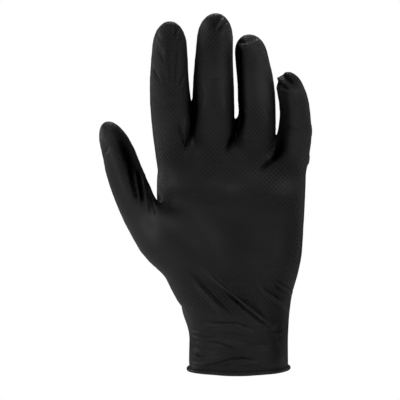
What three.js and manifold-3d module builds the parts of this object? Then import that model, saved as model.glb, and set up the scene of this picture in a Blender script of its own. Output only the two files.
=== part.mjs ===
// A disposable nitrile exam glove in the form that it has when worn. It is one dip-moulded
// film, closed at five fingertips and open at the cuff, whose edge is rolled into a bead.
// The palm side faces -Y, the fingers point up along +Z, and the thumb is on the -X side.
// The origin is the middle of the cuff's mouth, level with the bead's lowest point.
// Lengths are in millimetres.

import * as THREE from 'three';
import { mergeVertices } from 'three/addons/utils/BufferGeometryUtils.js';
import Module from 'manifold-3d';

// Driving dimensions. The film is drawn thicker than a real one, so that it is a solid wall.

const WALL = 1.2;
const BEAD_DIAMETER = 3.2;
const RIM_RISE = 1.5; // how much higher the rim lies at its sides than at its front

const CUFF_WIDTH = 62.4;
const CUFF_DEPTH = 46;
const CUFF_LENGTH = 25.4; // rim to wrist

const PALM_WIDTH = 93.4;
const PALM_DEPTH = 32;
const PALM_LENGTH = 121.3; // wrist to the webs between the fingers

const THUMB_LENGTH = 139.6; // from the wrist's thumb joint
const THUMB_WIDTH = 25.4;
const THUMB_DEPTH = 25;
const INDEX_LENGTH = 99.2; // each finger from its knuckle
const INDEX_WIDTH = 25.4;
const INDEX_DEPTH = 20;
const MIDDLE_LENGTH = 105.3;
const MIDDLE_WIDTH = 26.6;
const MIDDLE_DEPTH = 20.6;
const RING_LENGTH = 94.6;
const RING_WIDTH = 25.4;
const RING_DEPTH = 20;
const LITTLE_LENGTH = 78.4;
const LITTLE_WIDTH = 21.6;
const LITTLE_DEPTH = 18;

const MOUND_HEIGHT = 2.6; // depth of the cupped palm, which the lesser mounds follow
const FOLD_WIDTH = 3.6;
const FOLD_HEIGHT = 1.1;

// How finely the film's outside and its inside are faceted.

const OUTSIDE = { inset: 0, bodyAround: 52, bodyRings: 32, digitAround: 20, digitRings: 17, capRings: 5 };
const INSIDE = { inset: WALL, bodyAround: 28, bodyRings: 16, digitAround: 14, digitRings: 9, capRings: 3 };
const BEAD_SIDES = 8;
const THROUGH = 2 * BEAD_DIAMETER; // how far the hollow runs out past the mouth
const MERGE_WITHIN = 1e-4; // points of a grid that are this close are one point

// Sections of the cuff and palm, from the rim up. `of` names the size that a row follows, and
// `up` is a share of that part's length. The reach to each side of the axis is a share of that
// part's width or depth, and `square` is the section's exponent, where 2 is an ellipse.

const BODY_SECTIONS = [
  { of: 'cuff', up: 0.0, left: 0.505, right: 0.505, front: 0.5, back: 0.5, square: 2.4 },
  { of: 'cuff', up: 0.5, left: 0.502, right: 0.502, front: 0.49, back: 0.49, square: 2.3 },
  { of: 'cuff', up: 1.0, left: 0.505, right: 0.504, front: 0.48, back: 0.48, square: 2.2 },
  { of: 'palm', up: 0.115, left: 0.384, right: 0.347, front: 0.69, back: 0.63, square: 2.2 },
  { of: 'palm', up: 0.204, left: 0.4, right: 0.364, front: 0.67, back: 0.58, square: 2.3 },
  { of: 'palm', up: 0.309, left: 0.465, right: 0.402, front: 0.63, back: 0.53, square: 2.4 },
  { of: 'palm', up: 0.414, left: 0.52, right: 0.428, front: 0.58, back: 0.51, square: 2.5 },
  { of: 'palm', up: 0.545, left: 0.548, right: 0.439, front: 0.52, back: 0.51, square: 2.6 },
  { of: 'palm', up: 0.702, left: 0.556, right: 0.45, front: 0.48, back: 0.5, square: 2.6 },
  { of: 'palm', up: 0.832, left: 0.553, right: 0.455, front: 0.43, back: 0.45, square: 2.5 },
  { of: 'palm', up: 0.905, left: 0.535, right: 0.455, front: 0.38, back: 0.4, square: 2.4 },
  { of: 'palm', up: 1.0, left: 0.52, right: 0.44, front: 0.34, back: 0.35, square: 2.3 },
];
const BODY_CAP_START = 0.905; // where the rounded top of the palm begins

// Thumb and fingers. `across` and `up` place the root on the palm, as shares of its width and
// length, and `lean` is the digit's tilt towards +X in degrees. In the rows `along`, `aside`
// (towards the thumb) and `forward` (towards the palm side) are shares of the digit's length,
// and `width` and `depth` of its own.

const DIGITS = [
  {
    name: 'thumb', length: THUMB_LENGTH, width: THUMB_WIDTH, depth: THUMB_DEPTH,
    across: -0.221, up: 0.084, lean: -26.56, capStart: 0.9, rings: 24,
    rows: [
      { along: 0.0, aside: -0.006, forward: 0.03, width: 0.8, depth: 0.9 },
      { along: 0.132, aside: -0.03, forward: 0.05, width: 1.28, depth: 1.15 },
      { along: 0.28, aside: -0.048, forward: 0.072, width: 1.48, depth: 1.18 },
      { along: 0.43, aside: 0.006, forward: 0.096, width: 1.42, depth: 1.08 },
      { along: 0.556, aside: 0.046, forward: 0.125, width: 0.97, depth: 0.94 },
      { along: 0.67, aside: 0.041, forward: 0.15, width: 0.92, depth: 0.84 },
      { along: 0.767, aside: 0.031, forward: 0.172, width: 0.87, depth: 0.8 },
      { along: 0.86, aside: 0.014, forward: 0.19, width: 0.77, depth: 0.74 },
      { along: 0.922, aside: 0.01, forward: 0.2, width: 0.67, depth: 0.66 },
      { along: 1.0, aside: 0.006, forward: 0.205, width: 0.6, depth: 0.6 },
    ],
  },
  {
    name: 'index', length: INDEX_LENGTH, width: INDEX_WIDTH, depth: INDEX_DEPTH,
    across: -0.425, up: 0.812, lean: -2.2, capStart: 0.846, rings: 17,
    rows: [
      { along: 0.0, aside: 0.0, forward: 0.0, width: 0.86, depth: 1.0 },
      { along: 0.185, aside: 0.006, forward: 0.004, width: 0.96, depth: 1.14 },
      { along: 0.325, aside: 0.01, forward: 0.026, width: 1.02, depth: 1.03 },
      { along: 0.504, aside: 0.019, forward: 0.052, width: 1.0, depth: 0.96 },
      { along: 0.631, aside: 0.0205, forward: 0.078, width: 0.95, depth: 0.93 },
      { along: 0.759, aside: 0.014, forward: 0.108, width: 0.89, depth: 0.86 },
      { along: 0.846, aside: 0.009, forward: 0.132, width: 0.84, depth: 0.8 },
      { along: 1.0, aside: 0.0, forward: 0.172, width: 0.8, depth: 0.74 },
    ],
  },
  {
    name: 'middle', length: MIDDLE_LENGTH, width: MIDDLE_WIDTH, depth: MIDDLE_DEPTH,
    across: -0.167, up: 0.801, lean: 0.7, capStart: 0.866, rings: 17,
    rows: [
      { along: 0.0, aside: 0.0, forward: 0.0, width: 0.95, depth: 1.0 },
      { along: 0.185, aside: 0.009, forward: 0.004, width: 1.02, depth: 1.13 },
      { along: 0.334, aside: 0.008, forward: 0.03, width: 1.02, depth: 1.02 },
      { along: 0.484, aside: 0.012, forward: 0.06, width: 0.98, depth: 0.97 },
      { along: 0.603, aside: 0.013, forward: 0.09, width: 0.945, depth: 0.93 },
      { along: 0.722, aside: 0.012, forward: 0.124, width: 0.885, depth: 0.87 },
      { along: 0.866, aside: 0.007, forward: 0.17, width: 0.825, depth: 0.79 },
      { along: 1.0, aside: 0.0, forward: 0.21, width: 0.78, depth: 0.74 },
    ],
  },
  {
    name: 'ring', length: RING_LENGTH, width: RING_WIDTH, depth: RING_DEPTH,
    across: 0.112, up: 0.775, lean: -2.9, capStart: 0.885, rings: 17,
    rows: [
      { along: 0.0, aside: 0.0, forward: 0.0, width: 0.95, depth: 1.0 },
      { along: 0.174, aside: 0.005, forward: 0.008, width: 1.0, depth: 1.13 },
      { along: 0.34, aside: -0.014, forward: 0.05, width: 1.02, depth: 1.02 },
      { along: 0.507, aside: -0.032, forward: 0.1, width: 0.935, depth: 0.97 },
      { along: 0.674, aside: -0.034, forward: 0.162, width: 0.885, depth: 0.92 },
      { along: 0.808, aside: -0.019, forward: 0.222, width: 0.82, depth: 0.86 },
      { along: 0.889, aside: -0.008, forward: 0.262, width: 0.77, depth: 0.8 },
      { along: 1.0, aside: 0.022, forward: 0.315, width: 0.75, depth: 0.74 },
    ],
  },
  {
    name: 'little', length: LITTLE_LENGTH, width: LITTLE_WIDTH, depth: LITTLE_DEPTH,
    across: 0.337, up: 0.717, lean: -0.2, capStart: 0.863, rings: 17,
    rows: [
      { along: 0.0, aside: 0.0, forward: 0.0, width: 0.88, depth: 1.0 },
      { along: 0.177, aside: -0.001, forward: 0.012, width: 1.0, depth: 1.14 },
      { along: 0.339, aside: -0.0215, forward: 0.06, width: 1.05, depth: 1.02 },
      { along: 0.5, aside: -0.048, forward: 0.11, width: 0.985, depth: 0.97 },
      { along: 0.661, aside: -0.051, forward: 0.17, width: 0.87, depth: 0.9 },
      { along: 0.782, aside: -0.036, forward: 0.22, width: 0.83, depth: 0.84 },
      { along: 0.863, aside: -0.011, forward: 0.258, width: 0.77, depth: 0.78 },
      { along: 1.0, aside: 0.03, forward: 0.32, width: 0.72, depth: 0.72 },
    ],
  },
];

// Soft mounds and hollows of the worn film. `at` is a place on the palm, in shares
// of its width (across, towards +X) and length (up), `spread` its reach in the same shares, and
// `height` a share of the mound height. A negative height is a hollow.

const MOUNDS = [
  { name: 'palm_hollow', side: 'front', at: [0.0, 0.5], spread: [0.24, 0.25], height: -1.0 },
  { name: 'index_pad', side: 'front', at: [-0.36, 0.8], spread: [0.13, 0.09], height: 0.5 },
  { name: 'middle_pad', side: 'front', at: [-0.11, 0.79], spread: [0.12, 0.08], height: 0.45 },
  { name: 'ring_pad', side: 'front', at: [0.13, 0.78], spread: [0.12, 0.08], height: 0.45 },
  { name: 'little_pad', side: 'front', at: [0.33, 0.74], spread: [0.11, 0.09], height: 0.5 },
  { name: 'outer_heel', side: 'front', at: [0.24, 0.36], spread: [0.16, 0.22], height: 0.6 },
  { name: 'index_knuckle', side: 'back', at: [-0.4, 0.8], spread: [0.09, 0.07], height: 0.6 },
  { name: 'middle_knuckle', side: 'back', at: [-0.15, 0.83], spread: [0.1, 0.07], height: 0.7 },
  { name: 'ring_knuckle', side: 'back', at: [0.11, 0.8], spread: [0.09, 0.07], height: 0.6 },
  { name: 'little_knuckle', side: 'back', at: [0.31, 0.74], spread: [0.08, 0.07], height: 0.6 },
];

// Main folds of loose film on the palm side. `on` is the part that a fold lies on. Its ends are
// shares of that part's width (across, towards +X) and length (up), and its width and height are
// shares of the fold sizes. A negative `up` on the palm lies on the cuff.

const FOLDS = [
  { name: 'wrist_long', on: 'palm', from: [-0.16, 0.283], to: [0.228, 0.047], width: 1.0, height: 1.0 },
  { name: 'wrist_thumb', on: 'palm', from: [-0.31, 0.325], to: [-0.044, 0.084], width: 1.3, height: 0.8 },
  { name: 'wrist_little', on: 'palm', from: [0.16, 0.241], to: [0.33, 0.147], width: 0.9, height: 0.7 },
  { name: 'cuff_top', on: 'palm', from: [-0.24, 0.063], to: [0.133, 0.021], width: 0.9, height: 0.7 },
  { name: 'cuff_middle', on: 'palm', from: [-0.33, -0.005], to: [0.01, -0.063], width: 0.9, height: 0.7 },
  { name: 'cuff_low', on: 'palm', from: [-0.207, -0.168], to: [0.078, -0.12], width: 0.9, height: 0.8 },
  { name: 'thumb_pleat_1', on: 'thumb', from: [0.1, 0.73], to: [0.1, 0.57], width: 1.1, height: 0.8 },
  { name: 'thumb_pleat_2', on: 'thumb', from: [0.31, 0.7], to: [0.34, 0.55], width: 1.1, height: 0.9 },
  { name: 'thumb_pleat_3', on: 'thumb', from: [0.5, 0.66], to: [0.52, 0.53], width: 1.1, height: 0.9 },
  { name: 'index_pleat', on: 'index', from: [-0.2, 0.86], to: [-0.12, 0.6], width: 0.9, height: 0.7 },
  { name: 'middle_pleat', on: 'middle', from: [0.24, 0.95], to: [-0.08, 0.82], width: 0.9, height: 0.8 },
  { name: 'ring_pleat', on: 'ring', from: [-0.25, 0.96], to: [0.1, 0.88], width: 0.9, height: 0.7 },
  { name: 'little_pleat', on: 'little', from: [-0.25, 0.95], to: [0.3, 0.83], width: 0.9, height: 0.9 },
];

const film = new THREE.MeshStandardMaterial({ color: 0x1b1b1c, roughness: 0.55, metalness: 0 });

// The row of a table at a place on it, with every numeric column on a smooth curve.

function rowAt(rows, key, at) {
  const last = rows.length - 1;
  let low = 0;
  while (low < last - 1 && rows[low + 1][key] < at) low += 1;
  const high = low + 1;
  const span = rows[high][key] - rows[low][key];
  const t = THREE.MathUtils.clamp((at - rows[low][key]) / span, 0, 1);
  const row = {};
  for (const column of Object.keys(rows[low])) {
    if (typeof rows[low][column] !== 'number') continue;
    const slope = (i) => {
      const before = rows[Math.max(i - 1, 0)];
      const after = rows[Math.min(i + 1, last)];
      return ((after[column] - before[column]) / (after[key] - before[key])) * span;
    };
    row[column] = hermite(rows[low][column], rows[high][column], slope(low), slope(high), t);
  }
  return row;
}

function hermite(a, b, slopeA, slopeB, t) {
  const t2 = t * t;
  const t3 = t2 * t;
  return a * (2 * t3 - 3 * t2 + 1) + slopeA * (t3 - 2 * t2 + t) + b * (3 * t2 - 2 * t3) + slopeB * (t3 - t2);
}

// A closed shape made from a sphere's grid: `place` puts each vertex of a ring, and the first
// and last rings are the poles.

function shapeOf(around, rings, place) {
  const geometry = new THREE.SphereGeometry(1, around, rings - 1);
  const { position, uv } = geometry.attributes;
  for (let i = 0; i < position.count; i += 1) {
    const ring = Math.round(uv.getY(i) * (rings - 1));
    const step = Math.round(uv.getX(i) * around) % around;
    const point = place(ring, (step / around + 0.5) * 2 * Math.PI);
    position.setXYZ(i, point.x, point.y, point.z);
  }
  return closed(geometry);
}

function closed(geometry) {
  geometry.deleteAttribute('uv');
  geometry.deleteAttribute('normal');
  return mergeVertices(geometry, MERGE_WITHIN);
}

// Stations from a shape's flat lower end to its round upper end: how far along each one lies,
// and how much of the full section it has.

function stations(rings, capStart, capRings) {
  const list = [{ at: 0, size: 0 }];
  for (let i = 0; i < rings; i += 1) list.push({ at: (capStart * i) / (rings - 1), size: 1 });
  for (let i = 1; i <= capRings; i += 1) {
    const turn = ((i / capRings) * Math.PI) / 2;
    list.push({ at: capStart + (1 - capStart) * Math.sin(turn), size: Math.cos(turn) });
  }
  return list;
}

const power = (value, exponent) => Math.sign(value) * Math.abs(value) ** exponent;

// A point of the body's section: reach to the four sides, on a rounded rectangle.

function sectionPoint(section, angle) {
  const cos = power(Math.cos(angle), 2 / section.square);
  const sin = power(Math.sin(angle), 2 / section.square);
  return {
    x: cos * (cos > 0 ? section.right : section.left),
    y: sin * (sin > 0 ? section.back : section.front),
  };
}

const BODY_LENGTH = CUFF_LENGTH + PALM_LENGTH;
const BODY_ROWS = BODY_SECTIONS.map((row) => {
  const cuff = row.of === 'cuff';
  const width = cuff ? CUFF_WIDTH : PALM_WIDTH;
  const depth = cuff ? CUFF_DEPTH : PALM_DEPTH;
  return {
    z: cuff ? row.up * CUFF_LENGTH : CUFF_LENGTH + row.up * PALM_LENGTH,
    left: row.left * width,
    right: row.right * width,
    front: row.front * depth,
    back: row.back * depth,
    square: row.square,
  };
});

// The rim's height at an angle round the mouth: highest at the sides.

const rimHeight = (angle) => RIM_RISE * Math.cos(angle) ** 2;

// How far the mounds and hollows push the film out at a place on the palm. Both of the film's
// faces follow them.

function moundAt(x, z, side) {
  let height = 0;
  for (const mound of MOUNDS) {
    if (mound.side !== side) continue;
    const across = (x / PALM_WIDTH - mound.at[0]) / mound.spread[0];
    const up = ((z - CUFF_LENGTH) / PALM_LENGTH - mound.at[1]) / mound.spread[1];
    height += mound.height * MOUND_HEIGHT * Math.exp(-(across ** 2) - up ** 2);
  }
  return height;
}

function bodyShape({ inset, bodyAround, bodyRings, capRings }) {
  const top = BODY_LENGTH - inset;
  const capStart = (CUFF_LENGTH + BODY_CAP_START * PALM_LENGTH) / BODY_LENGTH;
  const list = stations(bodyRings, capStart, capRings);
  return shapeOf(bodyAround, list.length, (ring, angle) => {
    const { at, size } = list[ring];
    const mouth = inset > 0 ? -THROUGH : rimHeight(size > 0 ? angle : 0) + BEAD_DIAMETER / 2;
    const z = mouth + (top - mouth) * at;
    const section = rowAt(BODY_ROWS, 'z', z);
    for (const side of ['left', 'right', 'front', 'back']) section[side] = (section[side] - inset) * size;
    const flat = sectionPoint(section, angle);
    const facing = Math.sin(angle);
    const raised = moundAt(flat.x, z, facing < 0 ? 'front' : 'back') * size;
    return folded(new THREE.Vector3(flat.x, flat.y + raised * facing, z), inset, new THREE.Vector3(0, 0, z));
  });
}

// A digit's own directions: along it, to the thumb side, and its root on the palm.

function digitFrame(digit) {
  const lean = THREE.MathUtils.degToRad(digit.lean);
  return {
    root: new THREE.Vector3(digit.across * PALM_WIDTH, 0, CUFF_LENGTH + digit.up * PALM_LENGTH),
    along: new THREE.Vector3(Math.sin(lean), 0, Math.cos(lean)),
    aside: new THREE.Vector3(-Math.cos(lean), 0, Math.sin(lean)),
  };
}

const FORWARD = new THREE.Vector3(0, -1, 0);

function axisPoint(digit, frame, at) {
  const row = rowAt(digit.rows, 'along', at);
  return frame.root
    .clone()
    .addScaledVector(frame.along, at * digit.length)
    .addScaledVector(frame.aside, row.aside * digit.length)
    .addScaledVector(FORWARD, row.forward * digit.length);
}

function digitShape(digit, { inset, digitAround, digitRings, capRings }) {
  const frame = digitFrame(digit);
  const list = stations(digitRings, digit.capStart, capRings);
  const reach = 1 - inset / digit.length;
  const nudge = 0.01;
  return shapeOf(digitAround, list.length, (ring, angle) => {
    const { at, size } = list[ring];
    const row = rowAt(digit.rows, 'along', at);
    const centre = axisPoint(digit, frame, at * reach);
    const ahead = axisPoint(digit, frame, Math.min(at + nudge, 1));
    const tangent = ahead.sub(axisPoint(digit, frame, Math.min(at, 1 - nudge))).normalize();
    const side = new THREE.Vector3().crossVectors(new THREE.Vector3(0, 1, 0), tangent).normalize();
    const back = new THREE.Vector3().crossVectors(tangent, side);
    const halfWidth = ((row.width * digit.width) / 2 - inset) * size;
    const halfDepth = ((row.depth * digit.depth) / 2 - inset) * size;
    const point = centre
      .clone()
      .addScaledVector(side, halfWidth * Math.cos(angle))
      .addScaledVector(back, halfDepth * Math.sin(angle));
    return folded(point, inset, centre);
  });
}

// Where a fold's end lies, seen from the palm side.

function foldEnd(on, [across, up]) {
  if (on === 'palm') return new THREE.Vector2(across * PALM_WIDTH, CUFF_LENGTH + up * PALM_LENGTH);
  const digit = DIGITS.find(({ name }) => name === on);
  const frame = digitFrame(digit);
  const axis = axisPoint(digit, frame, up).addScaledVector(frame.aside, -across * digit.width);
  return new THREE.Vector2(axis.x, axis.z);
}

const RIDGES = FOLDS.map((fold) => ({
  from: foldEnd(fold.on, fold.from),
  to: foldEnd(fold.on, fold.to),
  width: fold.width * FOLD_WIDTH,
  height: fold.height * FOLD_HEIGHT,
}));

// The outside's point pushed out from its section's centre by the folds that pass there.

function folded(point, inset, centre) {
  const outward = point.clone().sub(centre);
  const reach = outward.length();
  if (inset > 0 || reach < MERGE_WITHIN) return point;
  outward.divideScalar(reach);
  const facing = THREE.MathUtils.smoothstep(-outward.y, 0.1, 0.5);
  const seen = new THREE.Vector2(point.x, point.z);
  let height = 0;
  for (const ridge of RIDGES) {
    const line = ridge.to.clone().sub(ridge.from);
    const share = THREE.MathUtils.clamp(seen.clone().sub(ridge.from).dot(line) / line.lengthSq(), 0, 1);
    const away = seen.distanceTo(ridge.from.clone().addScaledVector(line, share));
    height += ridge.height * Math.exp(-(((2 * away) / ridge.width) ** 2));
  }
  return point.addScaledVector(outward, height * facing);
}

// The rolled edge: a round bead along the mouth's outline.

function beadShape() {
  const sides = OUTSIDE.bodyAround;
  const geometry = new THREE.TorusGeometry(1, 0.1, BEAD_SIDES, sides);
  const { position, uv } = geometry.attributes;
  const mouth = BODY_ROWS[0];
  for (let i = 0; i < position.count; i += 1) {
    const angle = ((Math.round(uv.getX(i) * sides) % sides) / sides) * 2 * Math.PI;
    const turn = ((Math.round(uv.getY(i) * BEAD_SIDES) % BEAD_SIDES) / BEAD_SIDES) * 2 * Math.PI;
    const flat = sectionPoint(mouth, angle);
    const outward = new THREE.Vector2(flat.x / mouth.right ** 2, flat.y / mouth.back ** 2).normalize();
    const radius = BEAD_DIAMETER / 2;
    position.setXYZ(
      i,
      flat.x + outward.x * radius * Math.cos(turn),
      flat.y + outward.y * radius * Math.cos(turn),
      rimHeight(angle) + radius + radius * Math.sin(turn),
    );
  }
  return closed(geometry);
}

// Joins and cuts.

const wasm = await Module();
wasm.setup();

function solid(geometry) {
  return new wasm.Manifold(
    new wasm.Mesh({
      numProp: 3,
      vertProperties: geometry.attributes.position.array,
      triVerts: new Uint32Array(geometry.index.array),
    }),
  );
}

const joined = (geometries) => geometries.map(solid).reduce((sum, next) => sum.add(next));
const wornForm = (fineness) => [bodyShape(fineness), ...DIGITS.map((digit) => digitShape(digit, fineness))];

const glove = joined([...wornForm(OUTSIDE), beadShape()]).subtract(joined(wornForm(INSIDE)));
const result = glove.getMesh();
const geometry = new THREE.BufferGeometry();
geometry.setAttribute('position', new THREE.BufferAttribute(new Float32Array(result.vertProperties), 3));
geometry.setIndex(new THREE.BufferAttribute(new Uint32Array(result.triVerts), 1));
geometry.computeVertexNormals();

const mesh = new THREE.Mesh(geometry, film);
mesh.name = 'glove';
const part = new THREE.Group();
part.add(mesh);

export default part;
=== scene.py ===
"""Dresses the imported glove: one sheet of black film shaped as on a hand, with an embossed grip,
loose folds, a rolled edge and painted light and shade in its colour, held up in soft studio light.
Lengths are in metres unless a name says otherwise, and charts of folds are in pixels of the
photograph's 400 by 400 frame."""

import logging
import math
from collections.abc import Sequence
from dataclasses import dataclass
from enum import Enum

import bmesh
import bpy
import numpy as np
from mathutils import Matrix, Vector, noise


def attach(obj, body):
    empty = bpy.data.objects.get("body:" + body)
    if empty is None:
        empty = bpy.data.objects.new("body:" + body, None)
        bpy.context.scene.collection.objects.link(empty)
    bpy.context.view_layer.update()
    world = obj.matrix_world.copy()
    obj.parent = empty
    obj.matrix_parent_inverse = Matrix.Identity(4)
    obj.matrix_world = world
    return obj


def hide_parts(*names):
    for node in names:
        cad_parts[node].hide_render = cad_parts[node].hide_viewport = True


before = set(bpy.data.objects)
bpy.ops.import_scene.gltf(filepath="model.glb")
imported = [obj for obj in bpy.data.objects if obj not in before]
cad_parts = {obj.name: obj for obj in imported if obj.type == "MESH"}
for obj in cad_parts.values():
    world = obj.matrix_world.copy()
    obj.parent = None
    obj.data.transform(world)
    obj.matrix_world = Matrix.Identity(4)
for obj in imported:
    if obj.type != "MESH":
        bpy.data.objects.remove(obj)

log = logging.getLogger("glove")

MM = 0.001
FRAME_PIXELS = 400
ROW_STEP = 5.0  # pixels between the rows that a form's reach is read at
FAR = 1e9


class Side(Enum):
    """The face of the glove that a form lies on."""

    PALM = -1.0
    BACK = 1.0


def ease(low: float, high: float, value: np.ndarray) -> np.ndarray:
    """Rises smoothly from 0 to 1.

    Args:
        low: Where it leaves 0.
        high: Where it reaches 1.
        value: The values to read it at.

    Returns:
        The eased values.
    """
    share = np.clip((value - low) / (high - low), 0.0, 1.0)
    return share * share * (3.0 - 2.0 * share)


def walk_along(
    path: np.ndarray, seen: np.ndarray
) -> tuple[np.ndarray, np.ndarray, np.ndarray, float]:
    """Measures how points lie to a charted line, in pixels.

    Args:
        path: The line's corners, as rows of pixels across and down.
        seen: The points' places in the photograph's frame.

    Returns:
        Each point's distance, how far it lies to one side, how far along it is, and the line's
        length.
    """
    best = np.full(len(seen), FAR)
    aside = np.zeros(len(seen))
    along = np.zeros(len(seen))
    walked = 0.0
    for start, end in zip(path, path[1:]):
        length = float(np.linalg.norm(end - start))
        run = (end - start) / length
        away = seen - start
        share = np.clip(away @ run, 0.0, length)
        near = away - share[:, None] * run
        distance = np.hypot(near[:, 0], near[:, 1])
        closer = distance < best
        best = np.where(closer, distance, best)
        aside = np.where(closer, away[:, 0] * run[1] - away[:, 1] * run[0], aside)
        along = np.where(closer, walked + share, along)
        walked += length
    return best, aside, along, walked


@dataclass(frozen=True)
class PhotoView:
    """The photograph's viewpoint, which the camera and the charts of folds share."""

    target: tuple[float, float, float] = (-0.0247, -0.008, 0.1104)
    distance: float = 1.35
    elevation: float = math.radians(3.0)
    pixel: float = 0.635 * MM
    sensor: float = 36.0

    def axes(self) -> tuple[Vector, Vector, Vector, Vector]:
        """Works out where the viewpoint stands and how it is turned.

        Returns:
            The eye, and unit vectors forward, to the right and up.
        """
        forward = Vector((0.0, math.cos(self.elevation), -math.sin(self.elevation)))
        right = Vector((1.0, 0.0, 0.0))
        return Vector(self.target) - forward * self.distance, forward, right, right.cross(forward)

    def pixels(self, points: np.ndarray) -> np.ndarray:
        """Finds where points fall in the photograph's frame.

        Args:
            points: Rows of x, y and z.

        Returns:
            Rows of pixels to the right and pixels down.
        """
        eye, forward, right, up = (np.array(v) for v in self.axes())
        ray = points - eye
        scale = self.distance / self.pixel / (ray @ forward)
        middle = FRAME_PIXELS / 2
        return np.stack([middle + (ray @ right) * scale, middle - (ray @ up) * scale], axis=1)

    def place_camera(self) -> None:
        """Adds the scene's camera."""
        data = bpy.data.cameras.new("photo_camera")
        data.sensor_width = self.sensor
        data.lens = self.sensor * self.distance / (FRAME_PIXELS * self.pixel)
        camera = bpy.data.objects.new("photo_camera", data)
        eye, forward, _, _ = self.axes()
        camera.location = eye
        camera.rotation_euler = forward.to_track_quat("-Z", "Y").to_euler()
        bpy.context.scene.collection.objects.link(camera)
        bpy.context.scene.camera = camera


@dataclass(frozen=True)
class Swell:
    """A soft round form, or a patch of a mask, charted in the photograph's frame."""

    at: tuple[float, float]
    reach: tuple[float, float]
    height: float
    turn: float = 0.0
    side: Side = Side.PALM

    def over(self, seen: np.ndarray) -> np.ndarray:
        """Gives the swell's share of its height at each point.

        Args:
            seen: The points' places in the photograph's frame.

        Returns:
            Values from 0 to 1.
        """
        turn = math.radians(self.turn)
        away = seen - np.array(self.at)
        along = (away[:, 0] * math.cos(turn) + away[:, 1] * math.sin(turn)) / self.reach[0]
        across = (away[:, 1] * math.cos(turn) - away[:, 0] * math.sin(turn)) / self.reach[1]
        return np.exp(-(along**2) - across**2)


@dataclass(frozen=True)
class Fold:
    """A fold of loose film along a charted line. Its width is in pixels and its height in
    millimetres, below nought for a crease. A fold that wraps runs on round the side of its form."""

    path: tuple[tuple[float, float], ...]
    width: float
    height: float
    side: Side = Side.PALM
    wraps: bool = False
    fades: bool = True
    fading: float = 0.2
    left_at_ends: float = 0.25
    facing_when_flat: tuple[float, float] = (0.1, 0.5)
    facing_when_wrapped: tuple[float, float] = (-0.55, 0.05)

    def over(self, seen: np.ndarray) -> np.ndarray:
        """Gives the fold's height at each point, in millimetres.

        Args:
            seen: The points' places in the photograph's frame.

        Returns:
            Heights, positive outwards.
        """
        best, _, along, length = walk_along(np.array(self.path, dtype=float), seen)
        share = 1.0
        if self.fades:
            fade = ease(0.0, self.fading, np.minimum(along / length, 1.0 - along / length))
            share = self.left_at_ends + (1.0 - self.left_at_ends) * fade
        return self.height * (np.exp(-((best / self.width) ** 2)) * share)

    def shown(self, facing: np.ndarray) -> np.ndarray:
        """Says how much of the fold shows on a face of the glove.

        Args:
            facing: The points' normals towards the back, from -1 to 1.

        Returns:
            Shares from 0 to 1.
        """
        edge = self.facing_when_wrapped if self.wraps else self.facing_when_flat
        return ease(*edge, facing * self.side.value)


class Surface:
    """A mesh's points as arrays, for the steps that move them all at once."""

    pull_in: float = 0.5
    push_back: float = -0.53

    def __init__(self, mesh: bpy.types.Mesh) -> None:
        """Reads the mesh.

        Args:
            mesh: The mesh to work on.
        """
        self.mesh = mesh
        self.count = len(mesh.vertices)
        points = np.empty(self.count * 3)
        mesh.vertices.foreach_get("co", points)
        self.points = points.reshape(-1, 3)
        edges = np.empty(len(mesh.edges) * 2, dtype=np.int32)
        mesh.edges.foreach_get("vertices", edges)
        self.ends = edges.reshape(-1, 2).T
        self.degree = np.maximum(np.bincount(edges, minlength=self.count), 1)

    def relax(self, rounds: int, weight: np.ndarray | float = 1.0, keeps_size: bool = True) -> None:
        """Smooths the points.

        Args:
            rounds: How many times.
            weight: How strongly each point takes part, from 0 to 1.
            keeps_size: Whether each round is followed by one that undoes its shrinking.
        """
        steps = (self.pull_in, self.push_back) if keeps_size else (self.pull_in,)
        one, other = self.ends
        for step in [s for _ in range(rounds) for s in steps]:
            pull = np.empty_like(self.points)
            for axis in range(3):
                values = self.points[:, axis]
                total = np.bincount(one, weights=values[other], minlength=self.count)
                total += np.bincount(other, weights=values[one], minlength=self.count)
                pull[:, axis] = total / self.degree - values
            share = step * (weight[:, None] if isinstance(weight, np.ndarray) else weight)
            self.points += pull * share

    def write(self) -> None:
        """Puts the points back into the mesh."""
        self.mesh.vertices.foreach_set("co", self.points.ravel())
        self.mesh.update()

    def normals(self) -> np.ndarray:
        """Gives each point's outward direction, from the points as they now are."""
        self.write()
        values = np.empty(self.count * 3, dtype=np.float32)
        self.mesh.vertex_normals.foreach_get("vector", values)
        return values.reshape(-1, 3).astype(float)

    def store(self, name: str, values: np.ndarray) -> None:
        """Writes a value for each point into the mesh.

        Args:
            name: The attribute's name.
            values: A number, or a row of three, for each point.
        """
        kind, part = ("FLOAT", "value") if values.ndim == 1 else ("FLOAT_VECTOR", "vector")
        layer = self.mesh.attributes.new(name, kind, "POINT")
        layer.data.foreach_set(part, values.astype(np.float32).ravel())

    def push(self, millimetres: np.ndarray) -> None:
        """Moves each point outwards.

        Args:
            millimetres: How far, for each point.
        """
        self.points += self.normals() * millimetres[:, None] * MM


def patches_over(
    patches: Sequence[Swell],
    seen: np.ndarray,
    facing: np.ndarray,
    edge: tuple[float, float] = (0.0, 0.5),
) -> np.ndarray:
    """Adds up a chart of soft patches.

    Args:
        patches: The chart.
        seen: The points' places in the photograph's frame.
        facing: The points' normals towards the back, from -1 to 1.
        edge: How squarely a point faces the patch's side where the patch begins and is full.

    Returns:
        The sum at each point.
    """
    total = np.zeros(len(seen))
    for patch in patches:
        total += patch.height * patch.over(seen) * ease(*edge, facing * patch.side.value)
    return total


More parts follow.
